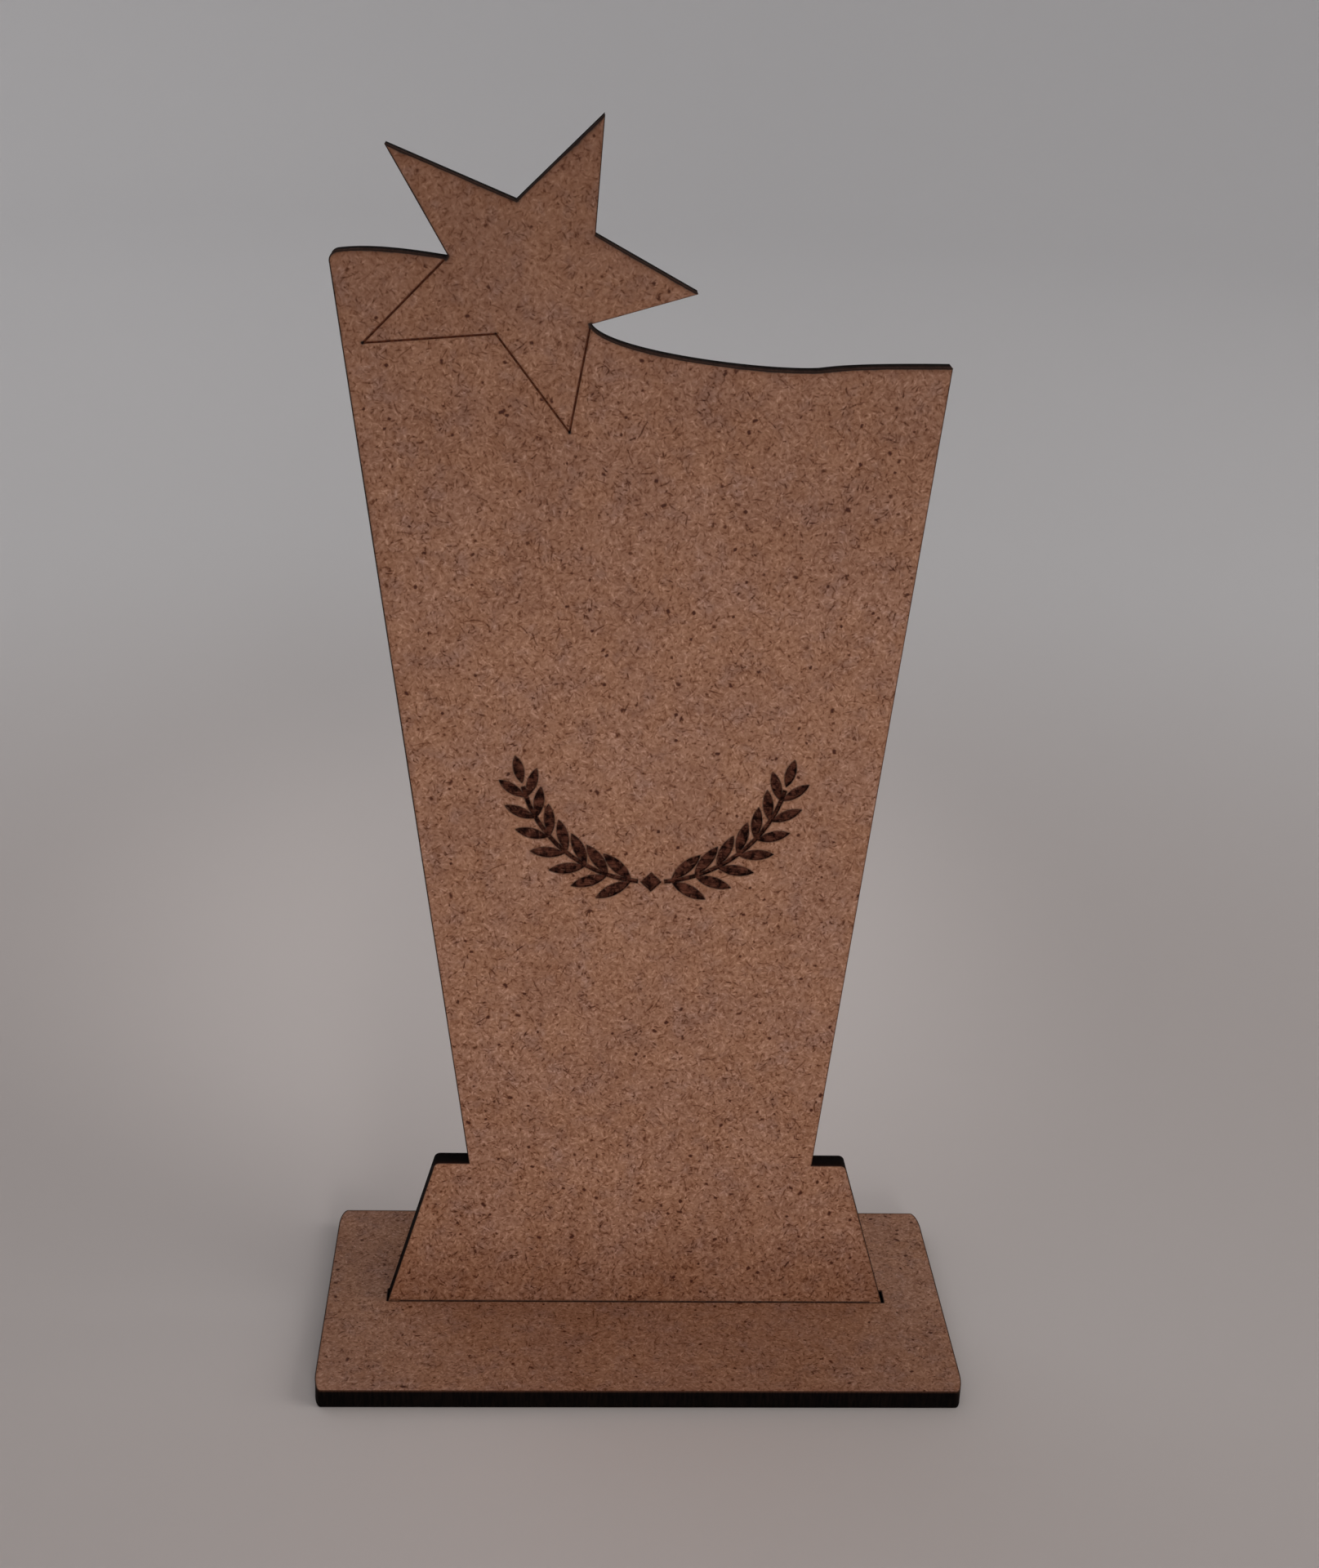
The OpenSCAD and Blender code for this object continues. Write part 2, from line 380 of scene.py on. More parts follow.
def sheet(outer, holes, place, burns, pockets=(), score=None, hot=(), soot_and_shade_z=None):
    """A board cut by the laser. place(points, depth) gives the row-frame position of a point on the face
    at a depth below it. burns gives, for the points and normals of each cut, the strength of the dark line
    beside it, of the smoke stain beyond that, and how brown its wall is. pockets are engraved outlines,
    score is the path of the scored line, and rub is the height where another board touches this one;
    along it the face gets a dark line that is partly soot and partly painted contact shade."""
    b = Build()
    cuts = [outer] + list(holes)
    insets = [q - normals(q) * ARRIS for q in cuts]
    near_cut = Near(insets)
    lo, hi = outer.min(0), outer.max(0)
    marks = []
    for q, burn in zip(cuts, burns):
        n = normals(q)
        marks.append(burn(q, n / np.linalg.norm(n, axis=1)[:, None]))
    line, smoke = (np.concatenate([m[k] for m in marks]) for k in (0, 1))

    def char_of(points, d):
        i = near_cut.index(points)
        return np.clip(line[i] * np.exp(-(d / 0.11) ** 2) + smoke[i] * (np.exp(-d / 0.8) + 0.6 * np.exp(-(d / 0.4) ** 2)), 0, 1)

    # ---- front face
    loops = list(insets)
    extra = [rings(q, near_cut, (0.06, 0.13, 0.22), 1, 1) for q in insets]
    extra += [rings(q, near_cut, (0.45, 0.9, 1.7), 1) for q in insets]
    n_cut = sum(len(q) for q in insets)
    near_mark = None
    if score is not None:
        outer_band = resample(band(score, SCORE_W / 2), 0.3)
        floor_band = resample(band(score, SCORE_W / 5), 0.3)
        loops += [outer_band, floor_band]
        near_score = Near([outer_band])
        extra.append(rings(outer_band, near_score, (0.1, 0.25, 0.6), -1, 1))
    if pockets:
        loops += list(pockets)
        near_pocket = Near(pockets)
        extra += [rings(q, near_pocket, (0.1, 0.22, 0.5), -1, 1) for q in pockets]
        for q in pockets:
            a, c = q.min(0), q.max(0)
            g = np.mgrid[a[0]:c[0]:0.28, a[1]:c[1]:0.28].reshape(2, -1).T
            g = g + rng.uniform(-0.09, 0.09, g.shape)
            g = g[inside(g, q)]
            if len(g):
                extra.append(g[near_pocket(g) > 0.12])
    g = np.mgrid[lo[0]:hi[0]:1.6, lo[1]:hi[1]:1.6].reshape(2, -1).T
    g = g + rng.uniform(-0.4, 0.4, g.shape)
    g = g[near_cut(g) > 2.0]
    # fine rows of points along the contact height, for the dark line of soot and painted contact shade there
    if soot_and_shade_z is not None:
        g = g[np.abs(g[:, 1] - soot_and_shade_z - 0.5) > 1.2]
        for off in (-0.5, 0.0, 0.07, 0.14, 0.24, 0.4, 0.7, 1.1):
            x = np.arange(lo[0] + 0.6, hi[0] - 0.6, 0.6)
            q = np.stack([x, np.full(len(x), soot_and_shade_z + off)], 1)
            extra.append(q[(near_cut(q) > 1.8) & inside(q, insets[0])])
    if score is not None:
        g = g[near_score(g) > 0.8]
    if pockets:
        g = g[near_pocket(g) > 0.7]
    extra.append(g)
    extra = np.concatenate(extra)
    keep = inside(extra, insets[0])
    for q in insets[1:]:
        keep &= ~inside(extra, q)
    extra = extra[keep]
    v, f, where = triangulate(loops, extra)
    c = v[f].mean(1)
    solid = inside(c, insets[0])
    for q in insets[1:]:
        solid &= ~inside(c, q)
    solid &= ~slivers(v, f, where, insets)
    f, c = f[solid], c[solid]
    kind = np.full(len(f), FACE)
    if score is not None:
        kind[inside(c, outer_band)] = SCORE
    for q in pockets:
        kind[inside(c, q)] = POCKET
    d_cut = near_cut(v)
    char = char_of(v, d_cut)
    # a dark line along the contact height: partly soot, partly painted shade where the other board meets the face
    if soot_and_shade_z is not None:
        d = np.where(v[:, 1] > soot_and_shade_z - 0.01, v[:, 1] - soot_and_shade_z, 0.12 + soot_and_shade_z - v[:, 1])
        char = np.maximum(char, np.where(d > -0.1, 0.6 * np.exp(-(d / 0.15) ** 2) + 0.11 * np.exp(-np.abs(d) / 0.6), 0))
    level = np.zeros(len(v))
    if score is not None:
        d = near_score(v)
        in_band = inside(v, outer_band) & (d > 1e-4)
        char = np.maximum(char, 0.2 * np.exp(-(d / 0.1) ** 2) + 0.08 * np.exp(-d / 0.35))
        char[in_band] = 0.2
        deep = in_band & (d > SCORE_W * 0.28)
        level[deep] = SCORE_D + rng.uniform(-0.05, 0.0, deep.sum())
    if pockets:
        d = near_pocket(v)
        char = np.maximum(char, 0.55 * np.exp(-(d / 0.14) ** 2) + 0.12 * np.exp(-d / 0.6))
    for p, r, s in hot:                                            # where the beam stopped and turned
        char = np.maximum(char, s * np.exp(-(np.linalg.norm(v - np.array(p), axis=1) / r) ** 2))
    top = b.add(place(v, level), np.clip(char, 0, 1), level)
    low = None
    if pockets:
        used = np.unique(f[kind == POCKET])
        new = np.full(len(v), -1)
        depth = ENGRAVE_D + rng.uniform(-0.07, 0.0, len(used))
        low = b.add(place(v[used], depth), np.ones(len(used)), depth)
        new[used] = low + np.arange(len(used))
    for t, k in zip(f, kind):
        b.f.append(tuple(new[t]) if k == POCKET else tuple(top + t))
        b.m.append(int(k))
    if pockets:                                                    # pocket walls
        owner = {}
        for t, k in zip(f, kind):
            for i in range(3):
                owner[(t[i], t[(i + 1) % 3])] = k
        for (i, j), k in owner.items():
            if k != POCKET and owner.get((j, i)) == POCKET:
                b.f.append((top + j, top + i, new[i], new[j]))
                b.m.append(POCKET)

    # ---- walls
    rows = np.array([0.0, ARRIS, 0.25, 0.7, 1.2, 1.7, 2.2, 2.7, SHEET - ARRIS, SHEET])
    back_loops = []
    start = 0
    for n_loop, q in enumerate(cuts):
        n = normals(q)
        k = len(q)
        ids = np.array([top + where[start + i] for i in range(k)])
        start += k
        fine = smooth_noise(k, 2.2, 5 + n_loop)
        mid = smooth_noise(k, 6, 15 + n_loop)
        wide = smooth_noise(k, 60, 25 + n_loop)
        previous = ids
        for r in range(1, len(rows)):
            y = rows[r]
            if r == len(rows) - 1:
                cut = np.full(k, ARRIS)
            elif r in (1, len(rows) - 2):
                cut = np.full(k, 0.0)
            else:
                lag = int(round(2.5 * (y / SHEET) ** 2))           # the beam's drag lines bend back
                cut = 0.022 + 0.012 * np.roll(fine, lag) + 0.008 * np.roll(mid, lag) + 0.002 * wide
            p = q - n * cut[:, None]
            s = b.add(place(p, np.full(k, y)), 1 - marks[n_loop][2], np.full(k, y))
            row = s + np.arange(k)
            for i in range(k):
                j = (i + 1) % k
                b.f.append((previous[i], row[i], row[j], previous[j]))
                b.m.append(EDGE)
            previous = row
        back_loops.append(previous)

    # ---- back face
    extra = [rings(q, near_cut, (0.06, 0.13, 0.22), 1, 1) for q in insets]
    extra += [rings(q, near_cut, (0.45, 0.9, 1.7), 1) for q in insets]
    g = np.mgrid[lo[0]:hi[0]:1.6, lo[1]:hi[1]:1.6].reshape(2, -1).T
    g = g + rng.uniform(-0.4, 0.4, g.shape)
    extra.append(g[near_cut(g) > 2.0])
    extra = np.concatenate(extra)
    keep = inside(extra, insets[0])
    for q in insets[1:]:
        keep &= ~inside(extra, q)
    v, f, where = triangulate(insets, extra[keep])
    c = v[f].mean(1)
    solid = inside(c, insets[0])
    for q in insets[1:]:
        solid &= ~inside(c, q)
    solid &= ~slivers(v, f, where, insets)
    f = f[solid]
    ids = np.full(len(v), -1)
    s = 0
    for q, loop in zip(insets, back_loops):
        for i in range(len(q)):
            ids[where[s + i]] = loop[i]
        s += len(q)
    rest = np.where(ids < 0)[0]
    d = near_cut(v)
    s = b.add(place(v[rest], np.full(len(rest), SHEET)), np.clip(char_of(v[rest], d[rest]) * 1.15, 0, 1), np.zeros(len(rest)))
    ids[rest] = s + np.arange(len(rest))
    for t in f:
        b.f.append((ids[t[0]], ids[t[2]], ids[t[1]]))
        b.m.append(FACE)
    return b


# ---------------------------------------------------------------- materials
def lin(r, g, b):
    """A colour in ordinary 0 to 255 numbers as the shader wants it."""
    out = []
    for c in (r, g, b):
        c /= 255
        out.append(c / 12.92 if c <= 0.04045 else ((c + 0.055) / 1.055) ** 2.4)
    return (*out, 1.0)


def tones(ground, steps):
    """Stops for a ramp from 0 to 1: the ground made lighter or darker by equal steps of all three numbers."""
    return [(at, lin(*(max(4, c + d) for c in ground))) for at, d in steps]


BOARD_TONES = tones((153, 107, 81), ((0.0, -84), (0.2, -62), (0.45, -28), (0.7, 0), (0.88, 22), (1.0, 40)))


class Nodes:
    def __init__(self, name):
        self.mat = bpy.data.materials.new(name)
        self.mat.use_nodes = True
        self.nt = self.mat.node_tree
        self.nt.nodes.clear()
        self.out = self.nt.nodes.new("ShaderNodeOutputMaterial")
        self.bsdf = self.nt.nodes.new("ShaderNodeBsdfPrincipled")
        self.nt.links.new(self.bsdf.outputs[0], self.out.inputs[0])

    def link(self, a, b):
        self.nt.links.new(a, b)

    def put(self, socket, value):
        if isinstance(value, bpy.types.NodeSocket):
            self.nt.links.new(value, socket)
        else:
            socket.default_value = value

    def math(self, op, a, b=None, clamp=False):
        n = self.nt.nodes.new("ShaderNodeMath")
        n.operation = op
        n.use_clamp = clamp
        self.put(n.inputs[0], a)
        if b is not None:
            self.put(n.inputs[1], b)
        return n.outputs[0]

    def vmath(self, op, a, b=None, scale=None):
        n = self.nt.nodes.new("ShaderNodeVectorMath")
        n.operation = op
        self.put(n.inputs[0], a)
        if b is not None:
            self.put(n.inputs[1], b)
        if scale is not None:
            self.put(n.inputs[3], scale)
        return n.outputs[0]

    def mix(self, fac, a, b, blend="MIX"):
        n = self.nt.nodes.new("ShaderNodeMix")
        n.data_type = "RGBA"
        n.blend_type = blend
        n.clamp_factor = True
        self.put(n.inputs[0], fac)
        self.put(n.inputs[6], a)
        self.put(n.inputs[7], b)
        return n.outputs[2]

    def ramp(self, value, a, b, lo=0.0, hi=1.0, smooth=True):
        n = self.nt.nodes.new("ShaderNodeMapRange")
        n.interpolation_type = "SMOOTHSTEP" if smooth else "LINEAR"
        n.clamp = True
        self.put(n.inputs[0], value)
        for i, x in zip((1, 2, 3, 4), (a, b, lo, hi)):
            n.inputs[i].default_value = x
        return n.outputs[0]

    def noise(self, vector, scale, detail=0.0, rough=0.5, dim="2D", distortion=0.0):
        n = self.nt.nodes.new("ShaderNodeTexNoise")
        n.noise_dimensions = dim
        self.put(n.inputs["Vector"], vector)
        n.inputs["Scale"].default_value = scale
        n.inputs["Detail"].default_value = detail
        n.inputs["Roughness"].default_value = rough
        n.inputs["Distortion"].default_value = distortion
        return n

    def turned(self, vector, angle, long, thin, shift):
        """The coordinates as seen along a direction, in units of a strand's length and width."""
        n = self.nt.nodes.new("ShaderNodeMapping")
        n.vector_type = "TEXTURE"
        self.put(n.inputs["Vector"], vector)
        n.inputs["Location"].default_value = (shift, shift * 0.7, 0)
        n.inputs["Rotation"].default_value = (0, 0, math.radians(angle))
        n.inputs["Scale"].default_value = (long, thin, 1)
        return n.outputs[0]

    def voronoi(self, vector, scale, feature="F1", randomness=1.0):
        n = self.nt.nodes.new("ShaderNodeTexVoronoi")
        n.voronoi_dimensions = "2D"
        n.feature = feature
        self.put(n.inputs["Vector"], vector)
        n.inputs["Scale"].default_value = scale
        n.inputs["Randomness"].default_value = randomness
        return n

    def plane(self, axes, shift=(0, 0)):
        """Flat coordinates in millimetres across the board's face."""
        c = self.nt.nodes.new("ShaderNodeTexCoord")
        s = self.nt.nodes.new("ShaderNodeSeparateXYZ")
        self.link(c.outputs["Object"], s.inputs[0])
        k = self.nt.nodes.new("ShaderNodeCombineXYZ")
        for i, a in enumerate(axes):
            m = self.nt.nodes.new("ShaderNodeMath")
            m.operation = "MULTIPLY_ADD"
            self.link(s.outputs[a], m.inputs[0])
            m.inputs[1].default_value = 1000
            m.inputs[2].default_value = shift[i]
            self.link(m.outputs[0], k.inputs[i])
        return k.outputs[0]

    def madd(self, a, k, b):
        n = self.nt.nodes.new("ShaderNodeMath")
        n.operation = "MULTIPLY_ADD"
        for socket, value in zip(n.inputs, (a, k, b)):
            self.put(socket, value)
        return n.outputs[0]

    def stops(self, value, table):
        """A colour that runs through the table's stops."""
        n = self.nt.nodes.new("ShaderNodeValToRGB")
        e = n.color_ramp.elements
        while len(e) < len(table):
            e.new(0.5)
        for i, (at, colour) in enumerate(table):
            e[i].position = at
            e[i].color = colour
        self.put(n.inputs[0], value)
        return n.outputs[0]

    def fibres(self, vector, cell, half, thick, share, seed):
        """Short curved strands of half length half and half width thick, one to a cell of that size, each with its own
        direction, bend, length and strength. A share below 1 leaves cells empty. Lengths are in millimetres."""
        at = self.turned(vector, seed * 7 % 180, cell, cell, seed)
        v = self.voronoi(at, 1.0)
        rnd = self.nt.nodes.new("ShaderNodeSeparateColor")
        self.link(v.outputs["Color"], rnd.inputs[0])
        rot = self.nt.nodes.new("ShaderNodeVectorRotate")
        rot.rotation_type = "Z_AXIS"
        self.link(self.vmath("SUBTRACT", at, v.outputs["Position"]), rot.inputs["Vector"])
        self.link(self.math("MULTIPLY", rnd.outputs[0], 2 * math.pi), rot.inputs["Angle"])
        xy = self.nt.nodes.new("ShaderNodeSeparateXYZ")
        self.link(rot.outputs[0], xy.inputs[0])
        x, y = xy.outputs[0], xy.outputs[1]
        bow = self.math("MULTIPLY", self.math("SUBTRACT", rnd.outputs[1], 0.5), self.math("MULTIPLY", x, x))
        across = self.math("ABSOLUTE", self.madd(bow, 0.35 * cell, y))
        along = self.math("MULTIPLY", self.math("ABSOLUTE", x), self.ramp(rnd.outputs[1], 0, 1, 1.7, 1.0, False))
        shape = self.math("MULTIPLY", self.ramp(along, half / cell * 0.35, half / cell * 1.1, 1.0, 0.0),
                          self.ramp(across, thick / cell * 0.1, thick / cell * 1.45, 1.0, 0.0))
        return self.math("MULTIPLY", shape, self.ramp(rnd.outputs[2], 1 - share, 1, 0.15 if share == 1 else 0.0, 1.0, False))

    def attribute(self, name):
        n = self.nt.nodes.new("ShaderNodeAttribute")
        n.attribute_name = name
        return n.outputs["Fac"]

    def bump(self, height, strength, distance):
        n = self.nt.nodes.new("ShaderNodeBump")
        n.inputs["Strength"].default_value = strength
        n.inputs["Distance"].default_value = distance
        self.put(n.inputs["Height"], height)
        self.link(n.outputs[0], self.bsdf.inputs["Normal"])


def board_face(name, axes, shift, foot=False):
    """The smooth face of the board: matted wood fibres in all directions, bark specks, and char along the cuts.
    With foot, the texture is stronger towards the foot, the last few millimetres above the base are darker as painted
    shade, and the board is darker towards the crest and the star as painted shade."""
    m = Nodes(name)
    uv = m.plane(axes, shift)
    # strands lie in gentle curves, so the coordinates are bent before anything is laid on them
    off = m.vmath("SUBTRACT", m.noise(uv, 0.4, 1.0).outputs["Color"], (0.5, 0.5, 0.5))
    warped = m.vmath("ADD", uv, m.vmath("SCALE", off, scale=0.5))

    # smudges: patches of a few millimetres where the fibres are darker and greyer
    smudge = m.ramp(m.noise(uv, 0.26, 3.0, 0.6).outputs["Fac"], 0.48, 0.72)

    # tone: how much lighter or darker than the ground, as a share of the ramp below
    mottle = m.noise(uv, 0.085, 2.0, 0.6).outputs["Fac"]
    lumps = m.noise(uv, 0.45, 1.0, 0.6).outputs["Fac"]
    grain = m.noise(m.turned(warped, 37, 1.0, 1.0, 0), 1.5, 2.0, 0.6).outputs["Fac"]
    tone = m.madd(m.math("SUBTRACT", mottle, 0.5), 0.14, 0.03)
    tone = m.madd(m.math("SUBTRACT", lumps, 0.5), 0.2, tone)
    tone = m.madd(m.math("SUBTRACT", grain, 0.5), 0.42, tone)
    pale = m.fibres(warped, 1.0, 0.7, 0.13, 1.0, 3.1)
    tone = m.madd(m.math("MAXIMUM", pale, m.fibres(warped, 1.25, 0.8, 0.14, 1.0, 47.7)), 0.17, tone)
    dark = m.math("MAXIMUM", m.fibres(warped, 0.8, 0.5, 0.12, 1.0, 91.9), m.fibres(warped, 1.05, 0.62, 0.13, 1.0, 117.1))
    tone = m.math("SUBTRACT", tone, m.math("MULTIPLY", dark, m.madd(smudge, 0.12, 0.2)))
    hair = m.math("MAXIMUM", m.fibres(warped, 1.2, 0.5, 0.13, 0.75, 143.3), m.fibres(warped, 1.7, 0.75, 0.13, 0.7, 211.3))
    hair = m.math("MAXIMUM", hair, m.fibres(warped, 2.7, 1.1, 0.12, 0.5, 251.7))
    hair = m.math("MAXIMUM", hair, m.fibres(warped, 5.0, 2.0, 0.12, 0.5, 277.9))
    tone = m.math("SUBTRACT", tone, m.math("MULTIPLY", hair, m.madd(smudge, 0.16, 0.31)))
    small = m.fibres(warped, 1.6, 0.25, 0.16, 0.6, 301.9)
    tone = m.madd(small, -0.32, tone)
    speck = m.math("MAXIMUM", m.fibres(warped, 3.4, 0.38, 0.24, 0.4, 401.3), m.fibres(warped, 5.5, 0.6, 0.26, 0.4, 467.1))
    tone = m.madd(speck, -0.72, tone)
    if not foot:
        tone = m.math("MULTIPLY", tone, 1.2)
    else:
        xy = m.nt.nodes.new("ShaderNodeSeparateXYZ")
        m.link(uv, xy.inputs[0])
        tone = m.math("MULTIPLY", tone, m.ramp(xy.outputs[1], shift[1] + 20, shift[1] + 90, 1.4, 1.26))
        tone = m.math("MULTIPLY", tone, m.ramp(xy.outputs[1], shift[1] + 148, shift[1] + 170, 1.0, 0.78))
        # painted shade: the foot is made darker over its lowest 17 mm, where the base shades it
        tone = m.math("SUBTRACT", tone, m.ramp(xy.outputs[1], shift[1] + 3, shift[1] + 20, 0.14, 0.0))
        # painted shade: the board is made darker towards the crest and the star
        tone = m.math("SUBTRACT", tone, m.ramp(xy.outputs[1], shift[1] + 105, shift[1] + 165, 0.0, 0.055))
        tone = m.math("SUBTRACT", tone, m.ramp(xy.outputs[1], shift[1] + 163, shift[1] + 186, 0.0, 0.04))

    # the ramp runs from bark brown over the ground to pale fibre
    colour = m.stops(m.math("ADD", tone, 0.705), BOARD_TONES)
    tint = m.ramp(m.noise(uv, 0.1, 2.0, 0.6).outputs["Fac"], 0.36, 0.66)
    colour = m.mix(tint, colour, (0.965, 0.985, 1.05, 1), "MULTIPLY")
    colour = m.mix(smudge, colour, (0.92, 0.955, 1.05, 1), "MULTIPLY")

    # char along the cuts, and the dark line of soot and painted contact shade just above the base, broken up a little
    # by the fibres
    rag = m.math("MULTIPLY", m.math("SUBTRACT", grain, 0.5), 0.7)
    char = m.math("MULTIPLY", m.attribute("char"), m.math("ADD", 1.0, rag), True)
    colour = m.mix(m.ramp(char, 0.02, 0.35, 0.0, 0.45), colour, lin(104, 64, 42))
    colour = m.mix(m.ramp(char, 0.25, 0.8), colour, lin(34, 20, 15))
    m.link(colour, m.bsdf.inputs["Base Color"])

    rough = m.madd(char, 0.15, m.ramp(grain, 0.3, 0.7, 0.66, 0.56, False))
    m.link(rough, m.bsdf.inputs["Roughness"])
    m.bsdf.inputs["Specular IOR Level"].default_value = 0.3
    m.bump(m.math("SUBTRACT", pale, dark), 0.3, 0.00003)
    return m.mat


def cut_edge(name, axes, lip_colour, lip_depth):
    """The charred wall of a cut: soot black with the beam's drag lines across the thickness, brown just below the
    face where the beam went in, and brown all the way where the beam ran fast."""
    m = Nodes(name)
    c = m.nt.nodes.new("ShaderNodeTexCoord")
    big = m.vmath("SCALE", c.outputs["Object"], scale=1000.0)
    n = m.nt.nodes.new("ShaderNodeMapping")
    n.vector_type = "POINT"
    m.link(big, n.inputs["Vector"])
    n.inputs["Scale"].default_value = axes                       # stretched along the thickness
    streak = m.noise(n.outputs[0], 2.6, 2.0, 0.6, "3D").outputs["Fac"]
    soot = m.noise(big, 0.5, 2.0, 0.55, "3D").outputs["Fac"]
    depth = m.attribute("depth")
    colour = m.mix(m.ramp(streak, 0.35, 0.7), lin(6, 4, 4), lin(19, 13, 11))
    lip = m.math("MULTIPLY", m.ramp(depth, 0.02, lip_depth, 1.0, 0.0), m.ramp(streak, 0.3, 0.65, 0.6, 1.0))
    colour = m.mix(lip, colour, lin(*lip_colour))
    uneven = m.madd(m.math("SUBTRACT", soot, 0.5), 1.2, depth)
    warm = m.mix(m.ramp(uneven, 0.1, 2.2), lin(68, 47, 38), lin(20, 14, 12))
    warm = m.mix(m.ramp(streak, 0.4, 0.75, 0.0, 0.35), warm, lin(24, 16, 14))
    colour = m.mix(m.math("SUBTRACT", 1.0, m.attribute("char")), colour, warm)
    m.link(colour, m.bsdf.inputs["Base Color"])
    m.link(m.ramp(streak, 0.3, 0.7, 0.8, 0.92), m.bsdf.inputs["Roughness"])
    m.bsdf.inputs["Specular IOR Level"].default_value = 0.04
    m.bump(streak, 0.4, 0.00005)
    return m.mat


def engraved(name):
    """Floor and walls of the engraved pockets: scorched brown, laid down in fine lines."""
    m = Nodes(name)
    uv = m.plane(("X", "Z"))
    lines = m.noise(m.turned(uv, 0, 2.2, 0.11, 0), 1.0, 1.0).outputs["Fac"]
    mott = m.noise(uv, 0.9, 3.0, 0.6).outputs["Fac"]
    fibre = m.fibres(uv, 1.2, 0.6, 0.12, 0.8, 7.7)
    colour = m.mix(m.ramp(mott, 0.32, 0.68), lin(24, 6, 3), lin(106, 62, 48))
    colour = m.mix(m.ramp(lines, 0.4, 0.65, 0, 0.6), colour, lin(26, 7, 4))
    colour = m.mix(m.math("MULTIPLY", fibre, 0.7), colour, lin(122, 82, 66))
    m.link(colour, m.bsdf.inputs["Base Color"])
    m.link(m.ramp(mott, 0.3, 0.7, 0.72, 0.88), m.bsdf.inputs["Roughness"])
    m.bsdf.inputs["Specular IOR Level"].default_value = 0.06
    m.bump(m.math("ADD", lines, mott), 0.6, 0.00008)
    return m.mat


def scored(name):
    """The scored line: burnt dark, with a brown tinge where the beam ran fast."""
    m = Nodes(name)
    uv = m.plane(("X", "Z"))
    n = m.noise(uv, 1.6, 2.0, 0.6).outputs["Fac"]
    colour = m.mix(m.ramp(n, 0.35, 0.7), lin(90, 47, 31), lin(122, 69, 47))
    colour = m.mix(m.ramp(m.attribute("char"), 0.25, 0.9), colour, lin(24, 13, 10))
    m.link(colour, m.bsdf.inputs["Base Color"])
    m.link(m.ramp(n, 0.3, 0.7, 0.7, 0.85), m.bsdf.inputs["Roughness"])
    m.bsdf.inputs["Specular IOR Level"].default_value = 0.15
    return m.mat


# ---------------------------------------------------------------- the two pieces
def place_plaque(p, depth):
    return np.stack([p[:, 0], -SHEET / 2 + depth, p[:, 1]], 1)


def place_base(p, depth):
    return np.stack([p[:, 0], p[:, 1], SHEET - depth], 1)


score = score_path()
hot = [(STAR[6], 0.3, 1.0), (STAR[7], 0.25, 0.9), (STAR[8], 0.3, 1.0), (STAR[5], 0.45, 1.0), (CREST_END, 0.5, 1.0),
       (STAR[5] + (-0.08, -0.45), 0.22, 1.0), (CREST_END, 1.5, 0.2), (STAR[1], 0.2, 0.7), (STAR[3], 0.2, 0.7)]
hot += [((-34.3, 169.4), 0.5, 0.3), ((-33.5, 169.3), 0.5, 0.3)]
hot += [(STAR[5] + (STAR[6] - STAR[5]) * t, 0.5, 0.55 - t) for t in (0.07, 0.1, 0.13, 0.16, 0.19, 0.22)]


def burn_plaque(q, n):
    z = q[:, 1]
    up, down = np.clip(n[:, 1], 0, 1), np.clip(-n[:, 1], 0, 1)
    left, right = np.clip(-n[:, 0], 0, 1), np.clip(n[:, 0], 0, 1)
    high = step(z, 140, 150)
    low = 1 - step(z, 27, 31)
    line = 0.92 - (0.38 + 0.3 * low - 0.12 * high) * right * (1 - up) - 0.5 * down * high * (1 - left)
    smoke = 0.04 + 0.23 * np.sqrt(up) * high + 0.14 * left * step(z, 40, 120) + 0.1 * up * left * high + 0.06 * up * (1 - high)
    smoke = smoke * (1 + 0.35 * smooth_noise(len(q), 9, 71) + 0.35 * smooth_noise(len(q), 30, 72))
    brown = np.clip(1.5 * up, 0, 1) * (high + 0.08 * step(z, 20, 28) * (1 - high))
    brown = np.maximum(brown, 0.3 * right * (1 - up))
    return line, smoke, brown


def burn_base(q, n):
    front, rear, left = np.clip(-n[:, 1], 0, 1), np.clip(n[:, 1], 0, 1), np.clip(-n[:, 0], 0, 1)
    smoke = (0.04 + 0.18 * rear + 0.05 * left) * (1 + 0.4 * smooth_noise(len(q), 20, 73)) * (1 - 0.9 * front)
    return 0.92 - 0.8 * front - 0.15 * left + 0.3 * rear, smoke, 0.3 * (1 - front)


def burn_slot(q, n):
    return np.full(len(q), 1.0), np.full(len(q), 0.04), np.zeros(len(q))


plaque = sheet(plaque_outline(), [], place_plaque, [burn_plaque], ornament(), score, hot, SHEET).object(
    "plaque_board", [board_face("board_plaque", ("X", "Z"), (400, 120), True), cut_edge("cut_plaque", (1.0, 0.12, 1.0), (38, 19, 12), 0.55),
                     engraved("engraved_plaque"), scored("scored_plaque")])
base = sheet(base_outline(), [slot_outline()], place_base, [burn_base, burn_slot]).object(
    "base_board", [board_face("board_base", ("X", "Y"), (170, 610)), cut_edge("cut_base", (1.0, 1.0, 0.12), (84, 55, 43), 0.45)])
for piece, node, body, slot in ((plaque, "plaque", "plaque", "plaque_board"), (base, "base_plate", "base", "base_board")):
    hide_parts(node)
    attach(piece, body)

